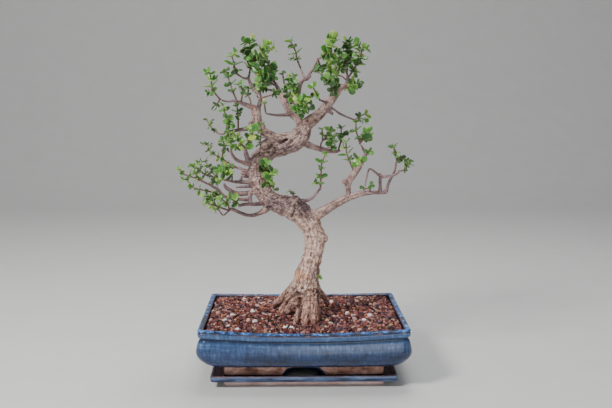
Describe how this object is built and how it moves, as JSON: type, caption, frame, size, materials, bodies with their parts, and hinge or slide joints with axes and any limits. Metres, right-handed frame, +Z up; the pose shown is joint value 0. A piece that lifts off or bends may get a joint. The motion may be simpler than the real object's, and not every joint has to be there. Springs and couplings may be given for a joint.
{
  "type": "dwarf jade bonsai",
  "caption": "Small succulent tree with a curved bare trunk, open twiggy crown and round green leaves, in granular soil in a glazed oblong pot on a shallow drip tray.",
  "frame": {"origin": "centre of the drip tray's flat underside, where it rests", "axes": "+Z up, +X to the right along the pot's long side, -Y towards the viewer, the tree's display side"},
  "size_m": [0.2916, 0.2116, 0.43],
  "materials": {
    "tray_glaze": "dark blue gloss glaze, bare pinkish clay foot",
    "pot_glaze": "blue streaked gloss glaze, brown at the edges, bare clay foot",
    "net_plastic": "matt black plastic",
    "lava_soil": "loose rough red-brown grains with a few white, tan and dark ones",
    "bark": "grey-brown finely cracked bark with cut scars",
    "leaf": "smooth waxy green leaves on thin brown-green stems"
  },
  "bodies": {
    "root": {"drip_tray": "tray_glaze", "pot": "pot_glaze", "drainage_mesh_left": "net_plastic", "drainage_mesh_right": "net_plastic", "soil": "lava_soil", "bonsai_wood": "bark", "spray_left_hook": "leaf", "spray_left_low_big": "leaf", "spray_left_low_spread": "leaf", "spray_left_tip": "leaf", "spray_left_fan": "leaf", "spray_left_inner": "leaf", "spray_left_long_tip": "leaf", "spray_left_rise_tip": "leaf", "spray_left_stem_side": "leaf", "spray_left_stem_big": "leaf", "spray_trunk_fork_front": "leaf", "spray_trunk_front": "leaf", "spray_trunk_front_upper": "leaf", "spray_trunk_top": "leaf", "spray_left_arm_tip": "leaf", "spray_left_arm_whip": "leaf", "spray_crown_left_top": "leaf", "spray_crown_left_big": "leaf", "spray_crown_left_low": "leaf", "spray_crown_arm_tip": "leaf", "spray_crown_arm_back": "leaf", "spray_crown_arm_front": "leaf", "spray_crown_arm_inner": "leaf", "spray_centre_left_top": "leaf", "spray_centre_left_fan": "leaf", "spray_centre_left_side_tip": "leaf", "spray_centre_left_thin_tip": "leaf", "spray_centre_left_low_tip": "leaf", "spray_centre_whip_tip": "leaf", "spray_centre_up_left": "leaf", "spray_centre_up_low": "leaf", "spray_centre_up_right": "leaf", "spray_centre_up_front": "leaf", "spray_centre_crown": "leaf", "spray_upper_right_side_tip": "leaf", "spray_upper_right_thin_tip": "leaf", "spray_upper_right_outer": "leaf", "spray_upper_right_top": "leaf", "spray_upper_right_inner": "leaf", "spray_upper_right_low": "leaf", "spray_upper_right_edge": "leaf", "spray_right_top": "leaf", "spray_right_mid": "leaf", "spray_right_low": "leaf", "spray_right_shoot": "leaf", "spray_mid_right_first": "leaf", "spray_mid_right_second": "leaf", "spray_mid_right_tip": "leaf", "spray_inner_shoot_tip": "leaf", "spray_low_right_top": "leaf", "spray_low_right_side": "leaf", "spray_low_right_sprout": "leaf"}
  },
  "joints": []
}
